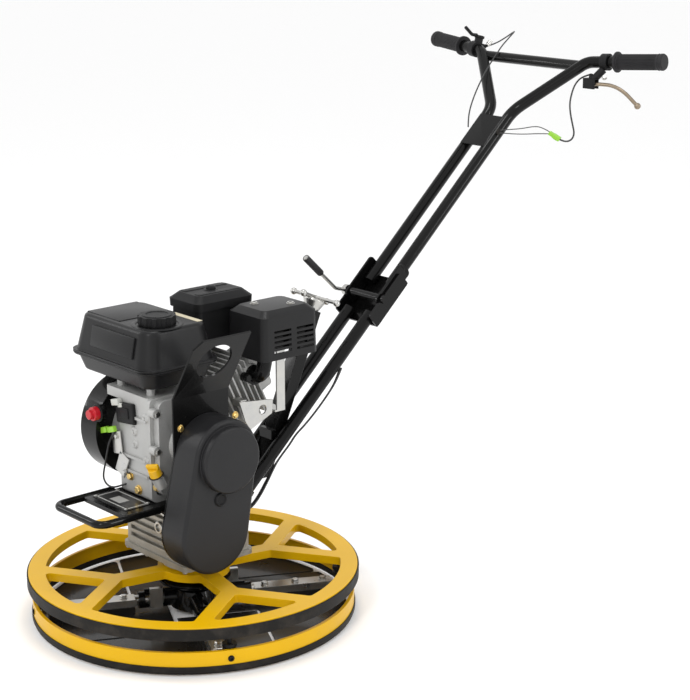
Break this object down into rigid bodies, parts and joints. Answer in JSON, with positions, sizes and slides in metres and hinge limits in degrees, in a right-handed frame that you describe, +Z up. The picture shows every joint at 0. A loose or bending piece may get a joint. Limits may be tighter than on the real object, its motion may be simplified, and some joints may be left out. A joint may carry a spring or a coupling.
{
  "type": "power trowel",
  "caption": "Walk-behind power trowel: petrol engine over a belt-driven worm gearbox that turns tilting steel blades inside a yellow ring guard, with a folding handle.",
  "frame": {"origin": "on the floor, on the axis of the rotor", "axes": "+Z up along the rotor axis, +X towards the belt-drive side, +Y towards the operator, parallel to the floor"},
  "size_m": [0.6482, 1.3022, 1.033],
  "materials": {
    "yellow_paint": "glossy powder coat",
    "black_paint": "gloss enamel",
    "blade_steel": "gloss black lacquer",
    "cast_aluminium": "as cast",
    "engine_casting": "bead blasted",
    "zinc_steel": "bright zinc plate",
    "bare_steel": "machined",
    "black_plastic": "fine texture",
    "guard_plastic": "satin",
    "black_rubber": "matte",
    "grip_rubber": "ribbed",
    "red_plastic": "gloss",
    "yellow_plastic": "gloss",
    "cable_black": "satin sheath"
  },
  "bodies": {
    "frame": {"upper_ring": "yellow_paint", "bumper_strip": "black_rubber", "ring_guides": "black_plastic", "gearbox_housing": "cast_aluminium", "base_plate": "black_paint", "carry_bar": "black_paint", "hex_bolts": "zinc_steel", "crankcase": "engine_casting", "side_cover": "engine_casting", "cylinder": "engine_casting", "blower_housing": "black_paint", "recoil_cover": "black_paint", "tank_lower": "black_paint", "tank_upper": "black_paint", "air_cleaner_base": "black_plastic", "air_cleaner_cover": "black_plastic", "carburetor": "cast_aluminium", "muffler": "bare_steel", "muffler_guard": "black_paint", "zinc_brackets": "zinc_steel", "belt_guard": "guard_plastic", "lift_plate": "black_paint", "belt": "black_rubber", "lower_handle": "black_paint", "fold_bracket": "black_paint", "pitch_post": "black_paint", "lower_cable_inner": "cable_black", "lower_cable_outer": "cable_black", "engine_lead": "cable_black"},
    "rotor": {"output_shaft": "bare_steel", "spider_hub": "black_paint"},
    "pressure_collar": {"pressure_plate": "black_paint"},
    "worm": {"worm_shaft": "bare_steel", "driven_pulley": "bare_steel"},
    "drum": {"clutch_drum": "bare_steel"},
    "crank": {"crankshaft": "bare_steel"},
    "turning_ring": {"lower_ring": "yellow_paint", "lower_rubber": "black_rubber"},
    "handle": {"upper_handle": "black_paint", "grips": "grip_rubber", "lever_perches": "black_plastic", "throttle_cable": "cable_black", "stop_lead": "cable_black", "stop_wire_upper": "cable_black", "stop_wire_lower": "cable_black"},
    "fold_lock": {"fold_lever": "zinc_steel"},
    "throttle": {"throttle_lever": "black_plastic"},
    "stop_blade": {"stop_lever": "zinc_steel"},
    "pitch_cross": {"pitch_handle": "zinc_steel"},
    "tank_cap": {"fuel_cap": "black_plastic"},
    "oil_dipstick": {"dipstick": "yellow_plastic"},
    "ignition_switch": {"stop_switch": "red_plastic"},
    "blade_arm_1": {"arm_1": "zinc_steel", "blade_1": "blade_steel"},
    "blade_arm_2": {"arm_2": "zinc_steel", "blade_2": "blade_steel"},
    "blade_arm_3": {"arm_3": "zinc_steel", "blade_3": "blade_steel"},
    "blade_arm_4": {"arm_4": "zinc_steel", "blade_4": "blade_steel"}
  },
  "joints": [
    {"name": "rotor_spin", "type": "hinge", "parent": "frame", "child": "rotor", "pos_m": [0, 0, 0.03], "axis": [0, 0, 1], "continuous": true},
    {"name": "worm_spin", "type": "hinge", "parent": "frame", "child": "worm", "pos_m": [0, -0.05, 0.195], "axis": [1, 0, 0], "continuous": true},
    {"name": "drum_spin", "type": "hinge", "parent": "frame", "child": "drum", "pos_m": [0.13, -0.04, 0.35], "axis": [1, 0, 0], "continuous": true},
    {"name": "crank_spin", "type": "hinge", "parent": "frame", "child": "crank", "pos_m": [0, -0.04, 0.35], "axis": [1, 0, 0], "continuous": true},
    {"name": "ring_spin", "type": "hinge", "parent": "frame", "child": "turning_ring", "pos_m": [0, 0, 0.03], "axis": [0, 0, 1], "continuous": true},
    {"name": "pitch_screw", "type": "hinge", "parent": "frame", "child": "pitch_cross", "pos_m": [0, 0.296, 0.536], "axis": [0, 0.394, 0.9191], "range_deg": [0, 720]},
    {"name": "collar_slide", "type": "slide", "parent": "frame", "child": "pressure_collar", "axis": [0, 0, -1], "range_m": [0, 0.00282]},
    {"name": "handle_fold", "type": "hinge", "parent": "frame", "child": "handle", "pos_m": [0, 0.43932, 0.54291], "axis": [1, 0, 0], "range_deg": [0, 112]},
    {"name": "fold_lock_turn", "type": "hinge", "parent": "frame", "child": "fold_lock", "pos_m": [-0.0564, 0.43932, 0.54291], "axis": [1, 0, 0], "range_deg": [0, 60]},
    {"name": "throttle_turn", "type": "hinge", "parent": "handle", "child": "throttle", "pos_m": [-0.17, 0.92288, 1.00412], "axis": [0, 0.2873, 0.9578], "range_deg": [-60, 0]},
    {"name": "stop_blade_squeeze", "type": "hinge", "parent": "handle", "child": "stop_blade", "pos_m": [0.183, 0.8932, 0.94], "axis": [0, -0.8319, 0.5549], "range_deg": [0, 20], "stiffness_Nm_per_rad": 0.12},
    {"name": "tank_cap_turn", "type": "hinge", "parent": "frame", "child": "tank_cap", "pos_m": [-0.011, -0.062, 0.575], "axis": [0, 0, 1], "range_deg": [0, 90]},
    {"name": "dipstick_turn", "type": "hinge", "parent": "frame", "child": "oil_dipstick", "pos_m": [0.05, -0.118, 0.3085], "axis": [0, -0.4, 0.9165], "range_deg": [0, 360]},
    {"name": "ignition_switch_turn", "type": "hinge", "parent": "frame", "child": "ignition_switch", "pos_m": [-0.106, -0.142, 0.391], "axis": [0, -1, 0], "range_deg": [0, 60]},
    {"name": "arm_pitch_1", "type": "hinge", "parent": "rotor", "child": "blade_arm_1", "pos_m": [0.04618, 0.0887, 0.026], "axis": [-0.4617, -0.887, 0], "range_deg": [0, 6.01]},
    {"name": "arm_pitch_2", "type": "hinge", "parent": "rotor", "child": "blade_arm_2", "pos_m": [-0.0887, 0.04618, 0.026], "axis": [0.887, -0.4617, 0], "range_deg": [0, 6.01]},
    {"name": "arm_pitch_3", "type": "hinge", "parent": "rotor", "child": "blade_arm_3", "pos_m": [-0.04618, -0.0887, 0.026], "axis": [0.4617, 0.887, 0], "range_deg": [0, 6.01]},
    {"name": "arm_pitch_4", "type": "hinge", "parent": "rotor", "child": "blade_arm_4", "pos_m": [0.0887, -0.04618, 0.026], "axis": [-0.887, 0.4617, 0], "range_deg": [0, 6.01]}
  ],
  "couplings": [
    {"joint": "worm_spin", "follows": "rotor_spin", "ratio": 25},
    {"joint": "drum_spin", "follows": "rotor_spin", "ratio": 29.1},
    {"joint": "collar_slide", "follows": "pitch_screw", "m_per_rad": 0.00022282},
    {"joint": "arm_pitch_1", "follows": "pitch_screw", "ratio": 0.0083333},
    {"joint": "arm_pitch_2", "follows": "pitch_screw", "ratio": 0.0083333},
    {"joint": "arm_pitch_3", "follows": "pitch_screw", "ratio": 0.0083333},
    {"joint": "arm_pitch_4", "follows": "pitch_screw", "ratio": 0.0083333}
  ]
}
